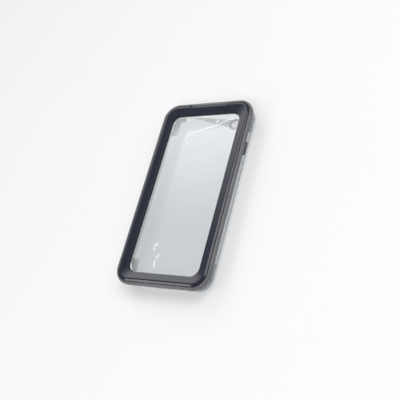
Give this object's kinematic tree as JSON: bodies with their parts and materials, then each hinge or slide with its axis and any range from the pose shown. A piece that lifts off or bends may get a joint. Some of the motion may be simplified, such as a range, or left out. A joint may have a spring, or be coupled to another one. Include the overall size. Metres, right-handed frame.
{
  "type": "waterproof phone case",
  "caption": "Waterproof case for a phone: black front frame with a clear touch film, a clear back that clips to it, sealed push buttons, port door and plug.",
  "frame": {"origin": "middle of the flat back face, on which the case lies", "axes": "+Z out of the screen, +Y to the top end of the phone, +X to the right as seen from the screen side"},
  "size_m": [0.078, 0.148, 0.0128],
  "materials": {
    "frame_black": "satin moulded black",
    "bumper_rubber": "satin soft black",
    "clear_film": "clear gloss film",
    "adhesive_black": "matte black",
    "seal_black": "matte black",
    "clear_shell": "clear gloss moulded",
    "lens_glass": "clear polished",
    "adhesive_clear": "clear",
    "lens_metal": "polished",
    "cushion_clear": "clear soft",
    "button_black": "satin moulded black",
    "clip_steel": "plain spring steel",
    "fork_plastic": "matte moulded",
    "clear_door": "clear gloss moulded",
    "pin_steel": "plain steel",
    "seal_clear": "translucent white",
    "membrane_grey": "fine matte mesh",
    "vent_plastic": "translucent moulded"
  },
  "bodies": {
    "shell": {"back_shell": "clear_shell", "lens_window": "lens_glass", "lens_adhesive": "adhesive_clear", "lens_ring": "lens_metal", "cushion_top_right": "cushion_clear", "cushion_top_left": "cushion_clear", "cushion_bottom_right": "cushion_clear", "cushion_bottom_left": "cushion_clear", "speaker_membrane": "membrane_grey", "speaker_frame": "vent_plastic", "mic_membrane": "membrane_grey", "mic_frame": "vent_plastic"},
    "cover": {"front_frame": "frame_black", "rim_bumper": "bumper_rubber", "screen_film": "clear_film", "film_adhesive": "adhesive_black", "main_seal": "seal_black"},
    "power": {"power_button": "button_black", "power_seal": "seal_black", "power_clip": "clip_steel"},
    "volume_up": {"volume_up_button": "button_black", "volume_up_seal": "seal_black", "volume_up_clip": "clip_steel"},
    "volume_down": {"volume_down_button": "button_black", "volume_down_seal": "seal_black", "volume_down_clip": "clip_steel"},
    "mute": {"mute_knob": "button_black", "mute_seal": "seal_black", "mute_fork": "fork_plastic"},
    "door": {"port_door": "clear_door", "port_door_pin": "pin_steel", "port_door_seal": "seal_clear"},
    "plug": {"headphone_plug": "clear_door", "headphone_seal": "seal_clear"}
  },
  "joints": [
    {"name": "cover_lift", "type": "slide", "parent": "shell", "child": "cover", "axis": [0, 0, 1], "range_m": [0, 0.02]},
    {"name": "power_press", "type": "slide", "parent": "shell", "child": "power", "axis": [-1, 0, 0], "range_m": [0, 0.00055], "stiffness_N_per_m": 900, "springref_m": -0.0004},
    {"name": "volume_up_press", "type": "slide", "parent": "shell", "child": "volume_up", "axis": [1, 0, 0], "range_m": [0, 0.00055], "stiffness_N_per_m": 900, "springref_m": -0.0004},
    {"name": "volume_down_press", "type": "slide", "parent": "shell", "child": "volume_down", "axis": [1, 0, 0], "range_m": [0, 0.00055], "stiffness_N_per_m": 900, "springref_m": -0.0004},
    {"name": "mute_turn", "type": "hinge", "parent": "shell", "child": "mute", "pos_m": [-0.039, 0.047, 0.00595], "axis": [-1, 0, 0], "range_deg": [0, 70]},
    {"name": "door_open", "type": "hinge", "parent": "shell", "child": "door", "pos_m": [0, -0.07155, 0.0027], "axis": [1, 0, 0], "range_deg": [0, 95]},
    {"name": "plug_pull", "type": "slide", "parent": "shell", "child": "plug", "axis": [0, -1, 0], "range_m": [0, 0.006]}
  ]
}
